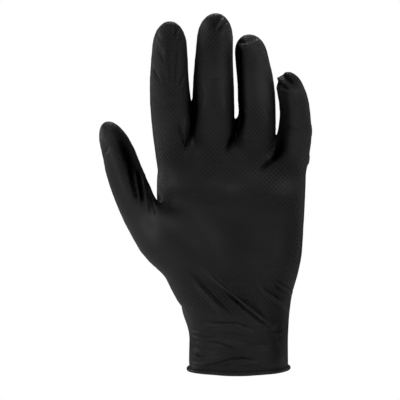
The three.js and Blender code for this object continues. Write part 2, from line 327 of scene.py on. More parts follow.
def rise_above_middle(down: np.ndarray, core: np.ndarray, depth: np.ndarray) -> np.ndarray:
    """Measures how far points lie from the middle of a form's depth, row by row.

    Args:
        down: The points' places along the form, in pixels.
        core: Which points lie near the form's middle line, where it is deepest.
        depth: How far back the points lie, in pixels.

    Returns:
        Shares of half the form's depth, from 0 at its middle.
    """
    rows = np.arange(max(down[core].min(), 0.0) + ROW_STEP, down[core].max(), ROW_STEP)
    lows, highs, found = [], [], []
    for row in rows:
        near = depth[core & (np.abs(down - row) < ROW_STEP)]
        if near.size:
            found.append(row)
            lows.append(near.min())
            highs.append(near.max())
    low = np.interp(down, found, lows)
    high = np.interp(down, found, highs)
    return np.abs(2.0 * depth - low - high) / np.maximum(high - low, 1.0)


@dataclass(frozen=True)
class DigitLine:
    """A digit's middle line as the photograph sees it: rows of pixels across, pixels down and
    half its width, from its tip to its root. Its depth is read within `core` half widths."""

    rows: tuple[tuple[float, float, float], ...]
    core: float = 0.6

    def unrolled(
        self, seen: np.ndarray, depth: np.ndarray
    ) -> tuple[np.ndarray, np.ndarray, np.ndarray]:
        """Lays the digit's skin out flat.

        Args:
            seen: The points' places in the photograph's frame.
            depth: How far back the points lie, in pixels.

        Returns:
            How far round the digit each point lies, how far from its tip, and how far off the
            middle line in half widths, the first two in pixels.
        """
        rows = np.array(self.rows, dtype=float)
        marks = np.concatenate([[0.0], np.cumsum(np.hypot(*np.diff(rows[:, :2], axis=0).T))])
        _, off, down, _ = walk_along(rows[:, :2], seen)
        reach = np.interp(down, marks, rows[:, 2])
        share = off / reach
        rise = rise_above_middle(down, np.abs(share) < self.core, depth)
        turn = np.arctan2(share, np.maximum(rise, 1.0 - np.abs(share)))
        return reach * turn, down, np.abs(share)


@dataclass(frozen=True)
class GripChart:
    """Lays out the embossed grip over the film and says where it shows. Its lengths and places
    are in the photograph's pixels, but `pixel` is the millimetres of one of them, and `widest`,
    `parted`, `seam` and `thumb_reach` are shares."""

    fingers: tuple[DigitLine, ...]
    thumb: DigitLine
    uneven: tuple[Swell, ...]
    roots: tuple[float, ...]
    plain: float = 0.5
    strongest: float = 2.4
    cuff_from: float = 309.0
    cuff_full: float = 323.0
    pixel: float = 0.635
    widest: float = 1.3
    merging: float = 30.0
    parted: float = 0.25  # share of the merging after which two fingers count as apart
    seam: float = 0.07
    seam_full: float = 0.35
    turning: float = 20.0  # how far in from the palm's edges the film begins to turn back
    palm_rows: tuple[float, float] = (130.0, 345.0)
    palm_core: tuple[float, float] = (205.0, 255.0)
    beside_thumb: float = 152.0
    below_thumb: float = 214.0
    thumb_joins: tuple[float, float] = (184.0, 200.0)
    thumb_parts: tuple[float, float] = (262.0, 282.0)
    thumb_reach: float = 1.08
    thumb_right: float = 156.0
    thumb_length: float = 118.0
    thumb_plain: tuple[float, float] = (84.0, 112.0)
    ball_right: float = 158.0
    ball_top: float = 192.0

    def round_palm(self, seen: np.ndarray, depth: np.ndarray) -> np.ndarray:
        """Lays the palm and the back out flat, with the film round their edges.

        Args:
            seen: The points' places in the photograph's frame.
            depth: How far back the points lie, in pixels.

        Returns:
            How far across each point lies, in pixels.
        """
        x, y = seen.T
        core = (x > self.palm_core[0]) & (x < self.palm_core[1]) & (y > self.palm_rows[0])
        rise = rise_above_middle(y, core, depth)
        rows = np.arange(*self.palm_rows, ROW_STEP)
        body = (x > self.beside_thumb) | (y > self.below_thumb)
        bands = [x[body & (np.abs(y - row) < ROW_STEP)] for row in rows]
        beyond_left = np.interp(y, rows, [band.min() for band in bands]) + self.turning - x
        beyond_right = x - np.interp(y, rows, [band.max() for band in bands]) + self.turning
        free = 1.0 - ease(*self.thumb_joins, y) + ease(*self.thumb_parts, y)
        across = x.copy()
        for beyond, way in ((beyond_left, -free), (beyond_right, 1.0)):
            share = np.clip(beyond / self.turning, 0.0, 1.0)
            turn = np.arctan2(share, np.maximum(rise, 1.0 - share))
            across += way * self.turning * (turn - share) * (share > 0.0)
        return across

    def lay(self, seen: np.ndarray, facing: np.ndarray, depth: np.ndarray) -> np.ndarray:
        """Works out the grip's own coordinates.

        Args:
            seen: The points' places in the photograph's frame.
            facing: The points' normals towards the back, from -1 to 1.
            depth: How far back the points lie, in pixels.

        Returns:
            Rows of millimetres across, millimetres along, and the grip's strength.
        """
        palm = self.round_palm(seen, depth)
        across = palm.copy()
        along = seen[:, 1].copy()
        best = np.full(len(seen), self.widest)
        second = best.copy()
        apart = np.zeros(len(seen))
        for line, root in zip(self.fingers, self.roots):
            round_it, _, off = line.unrolled(seen, depth)
            middle = np.interp(seen[:, 1], [r[1] for r in line.rows], [r[0] for r in line.rows])
            above = seen[:, 1] < root
            on_it = above & (off < best)
            blend = ease(0.0, self.merging, root - seen[:, 1])
            across = np.where(on_it, palm * (1 - blend) + (middle + round_it) * blend, across)
            second = np.where(on_it, best, np.where(above, np.minimum(off, second), second))
            best = np.where(on_it, off, best)
            apart = np.where(on_it, ease(0.0, self.parted, blend), apart)
        round_it, down, off = self.thumb.unrolled(seen, depth)
        on_thumb = (off < self.thumb_reach) & (down < self.thumb_length)
        on_thumb &= seen[:, 0] < self.thumb_right
        across = np.where(on_thumb, round_it, across)
        along = np.where(on_thumb, down, along)
        strength = self.plain * (1.0 - ease(self.cuff_from, self.cuff_full, seen[:, 1]))
        strength *= np.where(on_thumb, 1.0 - ease(*self.thumb_plain, down), 1.0)
        on_ball = (seen[:, 0] < self.ball_right) & ~on_thumb & (seen[:, 1] > self.ball_top)
        strength *= np.where(on_ball, 0.0, 1.0)
        strength = np.clip(strength + patches_over(self.uneven, seen, facing), 0.0, self.strongest)
        strength *= 1.0 - apart * (1.0 - ease(self.seam, self.seam_full, second - best))
        return np.stack([across * self.pixel, along * self.pixel, strength], axis=1)


@dataclass(frozen=True)
class RolledEdge:
    """The cuff's rolled edge: the film turned outwards round itself into a thin bead. Lengths are
    in millimetres, and rows of the section are pairs outwards and upwards from the rim's line."""

    radius: float = 1.3
    outwards: float = 0.4
    level: float = 1.25
    rise: float = 1.0
    tilt: float = 0.35
    half_width: float = 31.0
    wobble: float = 0.28
    wobble_pitch: float = 2.1
    wobble_start: float = 3.7
    waves: int = 11
    film: tuple[tuple[float, float], ...] = ((0.0, 2.7), (0.0, 2.0), (-0.02, 1.5))
    turns_at: tuple[float, ...] = (
        112, 90, 68, 46, 24, 2, -20, -44, -68, -92, -118, -144, -170, -196,
    )
    lining: tuple[tuple[float, float], ...] = ((-0.78, 0.72), (-0.9, 1.5), (-0.9, 2.6))

    def section(self) -> list[tuple[float, float]]:
        """Gives the roll's section from the film's outside to its inside.

        Returns:
            Pairs of millimetres outwards and upwards from the rim's line.
        """
        turns = [math.radians(turn) for turn in self.turns_at]
        roll = [
            (self.outwards + self.radius * math.cos(turn), self.radius * math.sin(turn))
            for turn in turns
        ]
        return [*self.film, *roll, *self.lining]

    def rim(self, x: float, y: float) -> float:
        """Gives the height of the rim's line.

        Args:
            x: Millimetres towards the little finger's side.
            y: Millimetres towards the back.

        Returns:
            The height in millimetres.
        """
        turn = math.atan2(y, x)
        around = (self.wobble_pitch * math.cos(turn), self.wobble_pitch * math.sin(turn))
        wave = noise.noise(Vector((*around, self.wobble_start)))
        side = math.cos(turn) ** 2
        tilt = self.tilt * x / self.half_width * side
        return self.level + self.rise * side + tilt + self.wobble * wave

    def smooth_rim(self, rim: list[bmesh.types.BMVert]) -> tuple[np.ndarray, np.ndarray]:
        """Evens out the film's open edge, which keeps only its broad waves.

        Args:
            rim: The points of the open edge.

        Returns:
            Each point's even place and its outward direction, both across the glove.
        """
        flat = np.array([vert.co[:2] for vert in rim])
        turn = np.arctan2(flat[:, 1], flat[:, 0])
        waves = np.arange(1, self.waves + 1)
        angles = turn[:, None] * waves
        basis = np.hstack([np.ones((len(rim), 1)), np.cos(angles), np.sin(angles)])
        share, *_ = np.linalg.lstsq(basis, np.hypot(flat[:, 0], flat[:, 1]), rcond=None)
        radius = basis @ share
        slope = np.hstack([-np.sin(angles) * waves, np.cos(angles) * waves]) @ share[1:]
        ray = np.stack([np.cos(turn), np.sin(turn)], axis=1)
        side = np.stack([-ray[:, 1], ray[:, 0]], axis=1)
        out = ray * radius[:, None] - side * slope[:, None]
        return ray * radius[:, None], out / np.linalg.norm(out, axis=1)[:, None]

    def roll(self, rim: list[bmesh.types.BMVert], bm: bmesh.types.BMesh) -> list[bmesh.types.BMEdge]:
        """Rolls the film's open edge.

        Args:
            rim: The points of the open edge.
            bm: The film's mesh.

        Returns:
            The edges of the roll's inner end.
        """
        base = dict(zip(rim, zip(*self.smooth_rim(rim))))
        held = set(rim)
        edges = [e for e in bm.edges if e.is_boundary and e.verts[0] in held and e.verts[1] in held]
        for outwards, upwards in self.section():
            made = bmesh.ops.extrude_edge_only(bm, edges=edges)["geom"]
            fresh = [g for g in made if isinstance(g, bmesh.types.BMVert)]
            edges = [g for g in made if isinstance(g, bmesh.types.BMEdge) and g.is_boundary]
            sources = [next(o for e in v.link_edges if (o := e.other_vert(v)) in base) for v in fresh]
            base = {vert: base[source] for vert, source in zip(fresh, sources)}
            for vert, (start, out) in base.items():
                height = self.rim(start[0] / MM, start[1] / MM) + upwards
                across = start + out * outwards * MM
                vert.co = (across[0], across[1], height * MM)
        return edges


@dataclass(frozen=True)
class Waves:
    """Uneven waves of loose film, which lean to its length. The height is in millimetres and the
    rest are turns of the noise for each millimetre."""

    height: float
    across: float
    along: float
    lean: float
    drop: float
    start: float = 0.0

    def at(self, x: float, y: float, z: float) -> float:
        """Gives the waves' height.

        Args:
            x: Millimetres towards the little finger's side.
            y: Millimetres towards the back.
            z: Millimetres up.

        Returns:
            The height in millimetres.
        """
        up = z * self.along - x * self.drop
        place = (x * self.across + z * self.lean, y * self.across + self.start, up)
        return self.height * noise.noise(Vector(place))


@dataclass(frozen=True)
class GloveFilm:
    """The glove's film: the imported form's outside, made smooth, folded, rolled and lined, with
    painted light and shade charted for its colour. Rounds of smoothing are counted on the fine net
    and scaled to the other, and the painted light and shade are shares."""

    node: str
    swells: tuple[Swell, ...]
    fills: tuple[Fold, ...]
    blends: tuple[Swell, ...]
    folds: tuple[Fold, ...]
    slack: tuple[Swell, ...]
    painted_tones: tuple[Swell, ...]
    grip: GripChart
    edge: RolledEdge
    view: PhotoView
    fine: float = 1.2 * MM
    coarse: float = 2.8 * MM
    merge_within: float = 0.001 * MM
    narrow: float = 3.0  # pixels: folds below this width get a finer net and painted shading
    margin: float = 1.1  # pixels
    shown_enough: float = 0.1
    # Painted shading: narrow creases darker and narrow ridges lighter by this share of their height,
    # on the film's even tone, with the chart's painted light and shade scaled by tone_share.
    fold_painted_shading: float = 0.4
    even_tone: float = 0.26
    tone_share: float = 0.56
    tone_edge: tuple[float, float] = (-0.6, 0.0)
    spread: float = 1.35  # how far a form is spread sideways for its net
    evening: int = 26
    least_evening: int = 4
    blending: int = 300
    least_blending: int = 8
    settling: int = 2
    filled_side: tuple[float, float] = (0.0, 0.4)
    gain: float = 0.4  # millimetres, for what the smoothing takes off
    broad_waves: Waves = Waves(0.42, 0.045, 0.13, 0.03, 0.03)
    small_waves: Waves = Waves(0.2, 0.11, 0.3, 0.1, 0.12, start=7.0)
    loose_form: float = 0.12
    loose_skin: float = 0.1
    taut: float = 0.02  # slack that is too little to crumple
    trim: float = 6.2 * MM  # where the film gives way to the roll
    cap: float = 5.0 * MM  # where the closed forms end, below the trim
    bead_top: float = 3.5 * MM

    def face_of_wall(self, outer: bool) -> bmesh.types.BMesh:
        """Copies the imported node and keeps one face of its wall, closed at the cuff.

        Args:
            outer: Whether the wall's outer face is kept, rather than its inner one.

        Returns:
            The closed form.
        """
        bm = bmesh.new()
        bm.from_mesh(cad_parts[self.node].data)
        bmesh.ops.remove_doubles(bm, verts=bm.verts, dist=self.merge_within)
        self.cut_below(bm, self.cap)
        by_breadth = sorted(self.islands(bm), key=self.breadth)
        bmesh.ops.delete(bm, geom=by_breadth[0] if outer else by_breadth[-1], context="FACES")
        bmesh.ops.holes_fill(bm, edges=[e for e in bm.edges if e.is_boundary], sides=0)
        bmesh.ops.triangulate(bm, faces=bm.faces)
        return bm

    @staticmethod
    def cut_below(bm: bmesh.types.BMesh, height: float) -> None:
        """Cuts off what lies below a height.

        Args:
            bm: The mesh.
            height: The height.
        """
        whole = [*bm.verts, *bm.edges, *bm.faces]
        level = (0.0, 0.0, height)
        bmesh.ops.bisect_plane(bm, geom=whole, plane_co=level, plane_no=(0, 0, 1), clear_inner=True)

    @staticmethod
    def islands(bm: bmesh.types.BMesh) -> list[list[bmesh.types.BMFace]]:
        """Sorts a mesh's faces into connected groups.

        Args:
            bm: The mesh.

        Returns:
            The groups.
        """
        left = set(bm.faces)
        groups = []
        while left:
            reached = [left.pop()]
            for face in reached:
                for edge in face.edges:
                    for other in edge.link_faces:
                        if other in left:
                            left.remove(other)
                            reached.append(other)
            groups.append(reached)
        return groups

    @staticmethod
    def breadth(faces: list[bmesh.types.BMFace]) -> float:
        """Measures a group of faces from side to side."""
        sides = [v.co.x for f in faces for v in f.verts]
        return max(sides) - min(sides)

    def voxels(self, form: bmesh.types.BMesh, size: float) -> bpy.types.Mesh:
        """Makes an even net of small faces over a closed form, which is spread sideways meanwhile
        so that the narrow gaps between fingers stay open.

        Args:
            form: The closed form.
            size: The faces' size.

        Returns:
            The even mesh.
        """
        rough = bpy.data.meshes.new("rough_form")
        bmesh.ops.scale(form, verts=form.verts, vec=(self.spread, 1.0, 1.0))
        form.to_mesh(rough)
        form.free()
        holder = bpy.data.objects.new("rough_form", rough)
        bpy.context.scene.collection.objects.link(holder)
        remesh = holder.modifiers.new("even_net", "REMESH")
        remesh.mode = "VOXEL"
        remesh.voxel_size = size
        graph = bpy.context.evaluated_depsgraph_get()
        even = bpy.data.meshes.new_from_object(holder.evaluated_get(graph))
        even.transform(Matrix.Diagonal((1.0 / self.spread, 1.0, 1.0, 1.0)))
        bpy.data.objects.remove(holder)
        bpy.data.meshes.remove(rough)
        return even

    def shaped(self, mesh: bpy.types.Mesh, size: float) -> Surface:
        """Smooths a net and gives it the film's forms and folds.

        Args:
            mesh: The even net.
            size: Its faces' size.

        Returns:
            The shaped surface.
        """
        surface = Surface(mesh)
        rate = (self.fine / size) ** 2
        surface.relax(max(int(self.evening * rate), self.least_evening))
        seen = self.view.pixels(surface.points)
        facing = surface.normals()[:, 1]
        surface.push(sum(fill.over(seen) for fill in self.fills) * ease(*self.filled_side, -facing))
        blend = np.clip(patches_over(self.blends, seen, facing), 0.0, 1.0)
        rounds = max(int(self.blending * rate), self.least_blending)
        surface.relax(rounds, blend, keeps_size=False)
        facing = surface.normals()[:, 1]
        surface.push(patches_over(self.swells, seen, facing) + self.gain)
        surface.push(self.crumple(surface, seen, facing))
        if size == self.fine:
            surface = self.refined(surface)
            seen = self.view.pixels(surface.points)
        facing = surface.normals()[:, 1]
        surface.push(sum(fold.over(seen) * fold.shown(facing) for fold in self.folds))
        return surface

    def refined(self, surface: Surface) -> Surface:
        """Halves the net's faces along the narrow folds.

        Args:
            surface: The surface before its folds.

        Returns:
            The surface with the finer net.
        """
        facing = surface.normals()[:, 1]
        seen = self.view.pixels(surface.points)
        close = np.zeros(surface.count, dtype=bool)
        for fold in self.folds:
            if fold.width < self.narrow:
                distance = walk_along(np.array(fold.path, dtype=float), seen)[0]
                near = distance < fold.width + self.margin
                close |= near & (fold.shown(facing) > self.shown_enough)
        bm = bmesh.new()
        bm.from_mesh(surface.mesh)
        edges = [e for e in bm.edges if close[e.verts[0].index] and close[e.verts[1].index]]
        bmesh.ops.subdivide_edges(bm, edges=edges, cuts=1, use_grid_fill=True)
        bm.to_mesh(surface.mesh)
        bm.free()
        finer = Surface(surface.mesh)
        finer.relax(self.settling)
        return finer

    def crumple(self, surface: Surface, seen: np.ndarray, facing: np.ndarray) -> np.ndarray:
        """Gives the small uneven swells of loose film, which run across the glove's length.

        Args:
            surface: The surface.
            seen: The points' places in the photograph's frame.
            facing: The points' normals towards the back, from -1 to 1.

        Returns:
            Heights in millimetres.
        """
        slack = np.clip(self.loose_form + patches_over(self.slack, seen, facing), 0.0, 1.0)
        heights = np.zeros(surface.count)
        for i, place in enumerate(surface.points / MM):
            if slack[i] > self.taut:
                heights[i] = slack[i] * (self.broad_waves.at(*place) + self.small_waves.at(*place))
        return heights

    def close_edge(self, bm: bmesh.types.BMesh, inside: bmesh.types.BMLayerItem) -> None:
        """Opens the cuff, rolls its edge and joins the roll to the film's inner face.

        Args:
            bm: The film's two faces.
            inside: The layer that marks the inner face's points.
        """
        self.cut_below(bm, self.trim)
        open_edges = [e for e in bm.edges if e.is_boundary]
        lining = [e for e in open_edges if e.verts[0][inside] > 0.5 and e.verts[1][inside] > 0.5]
        rim = [v for v in bm.verts if v.is_boundary and v[inside] < 0.5]
        roll = self.edge.roll(rim, bm)
        bmesh.ops.bridge_loops(bm, edges=lining + roll)

    def build(self, finish: bpy.types.Material) -> bpy.types.Object:
        """Builds the film.

        Args:
            finish: The film's material.

        Returns:
            The finished piece.
        """
        outer = self.shaped(self.voxels(self.face_of_wall(True), self.fine), self.fine)
        inner = self.shaped(self.voxels(self.face_of_wall(False), self.coarse), self.coarse)
        inner.write()
        outer.write()
        inner.mesh.flip_normals()
        bm = bmesh.new()
        inside = bm.verts.layers.float.new("inside")
        bm.from_mesh(outer.mesh)
        outside_count = len(bm.verts)
        bm.from_mesh(inner.mesh)
        bm.verts.ensure_lookup_table()
        for vert in bm.verts[outside_count:]:
            vert[inside] = 1.0
        self.close_edge(bm, inside)
        bmesh.ops.recalc_face_normals(bm, faces=bm.faces)
        mesh = bpy.data.meshes.new("glove_film")
        bm.to_mesh(mesh)
        bm.free()
        self.chart(mesh)
        mesh.shade_smooth()
        mesh.materials.append(finish)
        piece = bpy.data.objects.new("glove_film", mesh)
        bpy.context.scene.collection.objects.link(piece)
        log.info("glove_film: %d points, %d faces", len(mesh.vertices), len(mesh.polygons))
        return piece

    def chart(self, mesh: bpy.types.Mesh) -> None:
        """Writes where the grip lies, where the film is slack, and its painted light and shade for
        the finish.

        Args:
            mesh: The finished mesh.
        """
        surface = Surface(mesh)
        seen = self.view.pixels(surface.points)
        facing = surface.normals()[:, 1]
        marks = np.empty(surface.count)
        mesh.attributes["inside"].data.foreach_get("value", marks)
        grip = self.grip.lay(seen, facing, surface.points[:, 1] / self.view.pixel)
        grip[:, 2] *= 1.0 - marks
        surface.store("grip", grip)
        slack = np.clip(self.loose_skin + patches_over(self.slack, seen, facing), 0.0, 1.0)
        slack *= ease(self.bead_top, self.trim + self.bead_top, surface.points[:, 2])
        surface.store("slack", slack)
        # Painted light and shade: the chart's lighter and darker patches, with narrow creases painted
        # darker and narrow ridges lighter, on the film's even tone.
        relief = sum(f.over(seen) * f.shown(facing) for f in self.folds if f.width < self.narrow)
        painted_tones = patches_over(self.painted_tones, seen, facing, self.tone_edge) + self.fold_painted_shading * relief
        painted_shading = np.clip(self.even_tone + self.tone_share * painted_tones * (1.0 - marks), -1.0, 1.0)
        surface.store("painted_shading", painted_shading)


@dataclass
class Value:
    """A shader socket that can be used in Python expressions."""

    tree: bpy.types.NodeTree
    socket: bpy.types.NodeSocket

    def math(self, operation: str, *others: "Value | float", clamp: bool = False) -> "Value":
        """Adds a Math node.

        Args:
            operation: The node's operation.
            others: The values after this one.
            clamp: Whether the result is held between 0 and 1.

        Returns:
            The node's result.
        """
        return Value.of(self.tree, operation, (self, *others), clamp)

    @staticmethod
    def of(
        tree: bpy.types.NodeTree, operation: str, values: Sequence["Value | float"], clamp: bool
    ) -> "Value":
        """Adds a Math node for values in any order.

        Args:
            tree: The node tree.
            operation: The node's operation.
            values: The node's inputs.
            clamp: Whether the result is held between 0 and 1.

        Returns:
            The node's result.
        """
        node = tree.nodes.new("ShaderNodeMath")
        node.operation = operation
        node.use_clamp = clamp
        for socket, value in zip(node.inputs, values):
            if isinstance(value, Value):
                tree.links.new(value.socket, socket)
            else:
                socket.default_value = value
        return Value(tree, node.outputs[0])

    def __add__(self, other: "Value | float") -> "Value":
        """Adds."""
        return self.math("ADD", other)

    def __sub__(self, other: "Value | float") -> "Value":
        """Subtracts."""
        return self.math("SUBTRACT", other)

    def __rsub__(self, other: float) -> "Value":
        """Subtracts from a number."""
        return Value.of(self.tree, "SUBTRACT", (other, self), False)

    def __mul__(self, other: "Value | float") -> "Value":
        """Multiplies."""
        return self.math("MULTIPLY", other)

    __radd__ = __add__
    __rmul__ = __mul__

    def fraction(self) -> "Value":
        """Keeps what is after the point."""
        return self.math("FRACT")

    def size(self) -> "Value":
        """Drops the sign."""
        return self.math("ABSOLUTE")

    def larger(self, other: "Value | float") -> "Value":
        """Takes the larger of two."""
        return self.math("MAXIMUM", other)

    def eased(self, low: float, high: float) -> "Value":
        """Rises smoothly from 0 to 1 between two values.

        Args:
            low: Where it leaves 0.
            high: Where it reaches 1.

        Returns:
            The eased value.
        """
        node = self.tree.nodes.new("ShaderNodeMapRange")
        node.interpolation_type = "SMOOTHSTEP"
        self.tree.links.new(self.socket, node.inputs["Value"])
        node.inputs["From Min"].default_value = low
        node.inputs["From Max"].default_value = high
        return Value(self.tree, node.outputs["Result"])


class Finish:
    """A material's node tree, with one method for every kind of node."""

    def __init__(self, name: str) -> None:
        """Starts an empty material.

        Args:
            name: The material's name.
        """
        self.material = bpy.data.materials.new(name)
        self.material.use_nodes = True
        self.tree = self.material.node_tree
        self.tree.nodes.clear()

    def add(
        self,
        kind: str,
        settings: dict[str, object] | None = None,
        sockets: dict[str | int, object] | None = None,
        output: str | int = 0,
    ) -> Value:
        """Adds a node.

        Args:
            kind: The node's type.
            settings: What is set on the node first.
            sockets: Values or links of its inputs, by name or place.
            output: The output to give back.

        Returns:
            The output.
        """
        node = self.tree.nodes.new(kind)
        for name, value in (settings or {}).items():
            setattr(node, name, value)
        for name, value in (sockets or {}).items():
            if isinstance(value, Value):
                self.tree.links.new(value.socket, node.inputs[name])
            else:
                node.inputs[name].default_value = value
        return Value(self.tree, node.outputs[output] if node.outputs else None)

    def noise(self, place: Value, scale: float, detail: float, roughness: float = 0.5) -> Value:
        """Adds clouds of noise.

        Args:
            place: Where it is read.
            scale: How many turns it makes for each metre.
            detail: How many finer layers it has.
            roughness: How strong the finer layers are.

        Returns:
            The noise, from 0 to 1.
        """
        sockets = {"Vector": place, "Scale": scale, "Detail": detail, "Roughness": roughness}
        return self.add("ShaderNodeTexNoise", {}, sockets)

    def blend(self, share: Value, low: tuple[float, ...], high: tuple[float, ...]) -> Value:
        """Blends two colours.

        Args:
            share: The second colour's share.
            low: The first colour.
            high: The second colour.

        Returns:
            The blended colour.
        """
        return self.add("ShaderNodeMix", {"data_type": "RGBA"}, {0: share, 6: low, 7: high}, 2)


@dataclass(frozen=True)
class NitrileFinish:
    """Black elastic film with an embossed grip of small diamonds, with painted light and shade in its
    colour and a matte black mixed in as painted shade where that is darkest. The pitch and the
    heights are in millimetres, and the scales are turns of the noise for each metre."""

    name: str = "nitrile"
    # The darkest black, which is also the end of the painted shade, and a paler grey reached mostly
    # by painted light and slightly by the random speckle.
    deep: tuple[float, float, float, float] = (0.0015, 0.0015, 0.0016, 1.0)
    pale_and_painted_light: tuple[float, float, float, float] = (0.0640, 0.0640, 0.0655, 1.0)
    roughness: float = 0.5
    uneven_roughness: float = 0.12
    specular: float = 0.42
    pitch: float = 2.1
    groove: tuple[float, float] = (0.26, 0.44)
    grip_height: float = 0.5
    grip_tone: float = 0.2
    diamond_share: float = 0.35
    wrinkle_height: float = 0.45
    wrinkle_turn: tuple[float, float, float] = (0.0, 0.55, 0.0)
    wrinkle_scale: tuple[float, float, float] = (150.0, 260.0, 560.0)
    skin_height: float = 0.03
    skin_scale: float = 1500.0
    cloud_scale: float = 38.0
    cloud_edge: tuple[float, float] = (0.35, 0.7)
    cloud_tone: float = 0.07
    # As the painted shading falls from the first value to the second, the matte black painted shade
    # is mixed in fully.
    painted_shade_edge: tuple[float, float] = (0.12, -0.45)

    def build(self) -> bpy.types.Material:
        """Builds the material.

        Returns:
            The material.
        """
        finish = Finish(self.name)
        grip = finish.add("ShaderNodeAttribute", {"attribute_name": "grip"}, output="Vector")
        split = finish.add("ShaderNodeSeparateXYZ", sockets={0: grip}).socket.node
        across, along, strength = (Value(finish.tree, socket) for socket in split.outputs)
        run = 1.0 / (self.pitch * math.sqrt(2.0))
        grooves = [
            (((across * run) + (along * slope)).fraction() - 0.5).size().eased(*self.groove)
            for slope in (run, -run)
        ]
        diamonds = 1.0 - grooves[0].larger(grooves[1])
        place = finish.add("ShaderNodeTexCoord", output="Object")
        drawn_out = finish.add(
            "ShaderNodeMapping",
            {},
            {"Vector": place, "Rotation": self.wrinkle_turn, "Scale": self.wrinkle_scale},
        )
        wrinkles = finish.noise(drawn_out, 1.0, detail=3.0, roughness=0.55)
        skin = finish.noise(place, self.skin_scale, detail=2.0)
        clouds = finish.noise(place, self.cloud_scale, detail=4.0)
        slack = finish.add("ShaderNodeAttribute", {"attribute_name": "slack"}, output="Fac")
        height = (
            diamonds * strength * self.grip_height
            + (wrinkles - 0.5) * slack * self.wrinkle_height
            + skin * self.skin_height
        )
        normal = finish.add("ShaderNodeBump", {}, {"Height": height, "Distance": MM, "Strength": 1.0})
        # Painted light and shade, read from the mesh, lighten and darken the base colour and choose
        # where the matte black painted shade is mixed in.
        painted_shading = finish.add("ShaderNodeAttribute", {"attribute_name": "painted_shading"}, output="Fac")
        speckle = clouds.eased(*self.cloud_edge) * self.cloud_tone - self.cloud_tone / 2.0
        speckle = speckle + (self.diamond_share - diamonds) * strength * self.grip_tone
        tone = (painted_shading + speckle).math("ADD", 0.0, clamp=True)
        colour = finish.blend(tone, self.deep, self.pale_and_painted_light)
        rough = clouds * self.uneven_roughness + (self.roughness - self.uneven_roughness / 2.0)
        film = finish.add(
            "ShaderNodeBsdfPrincipled",
            {},
            {
                "Base Color": colour,
                "Roughness": rough,
                "Normal": normal,
                "Specular IOR Level": self.specular,
            },
        )
        # Painted shade: a matte black shader takes over where the painted shading is darkest, on the
        # flanks between fingers and in deep creases.
        painted_shade_black = finish.add("ShaderNodeBsdfDiffuse", {}, {"Color": self.deep})
        painted_shade_share = painted_shading.eased(*self.painted_shade_edge)
        shader = finish.add("ShaderNodeMixShader", {}, {0: painted_shade_share, 1: film, 2: painted_shade_black})
        finish.add("ShaderNodeOutputMaterial", {}, {"Surface": shader})
        return finish.material


@dataclass(frozen=True)
class FloorFinish:
    """Plain pale studio floor."""

    name: str = "studio_floor"
    colour: tuple[float, float, float, float] = (0.86, 0.86, 0.86, 1.0)
    shade: float = 0.97
    cloud_scale: float = 3.0
    roughness: float = 0.7

    def build(self) -> bpy.types.Material:
        """Builds the material.

        Returns:
            The material.
        """
        finish = Finish(self.name)
        place = finish.add("ShaderNodeTexCoord", output="Object")
        clouds = finish.noise(place, self.cloud_scale, detail=2.0)
        shade = (*(part * self.shade for part in self.colour[:3]), 1.0)
        shader = finish.add(
            "ShaderNodeBsdfPrincipled",
            {},
            {"Base Color": finish.blend(clouds, shade, self.colour), "Roughness": self.roughness},
        )
        finish.add("ShaderNodeOutputMaterial", {}, {"Surface": shader})
        return finish.material


@dataclass(frozen=True)
class SoftLight:
    """A square soft box."""

    name: str
    place: tuple[float, float, float]
    size: float
    power: float

    def hang(self, target: Vector) -> None:
        """Adds the light.

        Args:
            target: The point that it shines at.
        """
        data = bpy.data.lights.new(self.name, "AREA")
        data.shape = "SQUARE"
        data.size = self.size
        data.energy = self.power
        light = bpy.data.objects.new(self.name, data)
        light.location = self.place
        light.rotation_euler = (target - Vector(self.place)).to_track_quat("-Z", "Y").to_euler()
        bpy.context.scene.collection.objects.link(light)


@dataclass(frozen=True)
class Studio:
    """The pale room: a floor below the glove, soft lights and a white surround."""

    floor_height: float = -0.25
    floor_radius: float = 1.25
    lights: tuple[SoftLight, ...] = (
        SoftLight("back_left", (-1.61, 0.57, 0.35), 0.9, 6.2),
        SoftLight("front_left", (-0.91, -1.27, 0.83), 0.9, 4.2),
        SoftLight("front_right", (0.86, -1.27, 0.83), 0.9, 4.4),
        SoftLight("back_right", (1.56, 0.57, 0.35), 0.9, 2.6),
        SoftLight("top", (-0.02, -0.64, 1.69), 0.9, 2.0),
        SoftLight("top_back", (-0.02, 0.84, 1.58), 0.9, 11.0),
    )
    surround: float = 0.04

    def build(self, target: Vector) -> None:
        """Builds the floor, the lights and the surround.

        Args:
            target: The point that the lights shine at.
        """
        bm = bmesh.new()
        bmesh.ops.create_circle(bm, cap_ends=True, segments=96, radius=self.floor_radius)
        bmesh.ops.translate(bm, verts=bm.verts, vec=(0.0, 0.0, self.floor_height))
        mesh = bpy.data.meshes.new("floor")
        bm.to_mesh(mesh)
        bm.free()
        mesh.materials.append(FloorFinish().build())
        floor = bpy.data.objects.new("floor", mesh)
        bpy.context.scene.collection.objects.link(floor)
        for light in self.lights:
            light.hang(target)
        self.light_surround()
        log.info("studio: floor, %d lights and a white surround", len(self.lights))

    def light_surround(self) -> None:
        """Makes the surround white where it is seen and dimmer where it lights."""
        world = bpy.data.worlds.new("surround")
        world.use_nodes = True
        tree = world.node_tree
        tree.nodes.clear()
        path = tree.nodes.new("ShaderNodeLightPath")
        glow = tree.nodes.new("ShaderNodeBackground")
        glow.inputs["Color"].default_value = (1.0, 1.0, 1.0, 1.0)
        seen = Value(tree, path.outputs["Is Camera Ray"])
        strength = seen * (1.0 - self.surround) + self.surround
        tree.links.new(strength.socket, glow.inputs["Strength"])
        out = tree.nodes.new("ShaderNodeOutputWorld")
        tree.links.new(glow.outputs[0], out.inputs["Surface"])
        bpy.context.scene.world = world
        bpy.context.scene.view_settings.view_transform = "Standard"


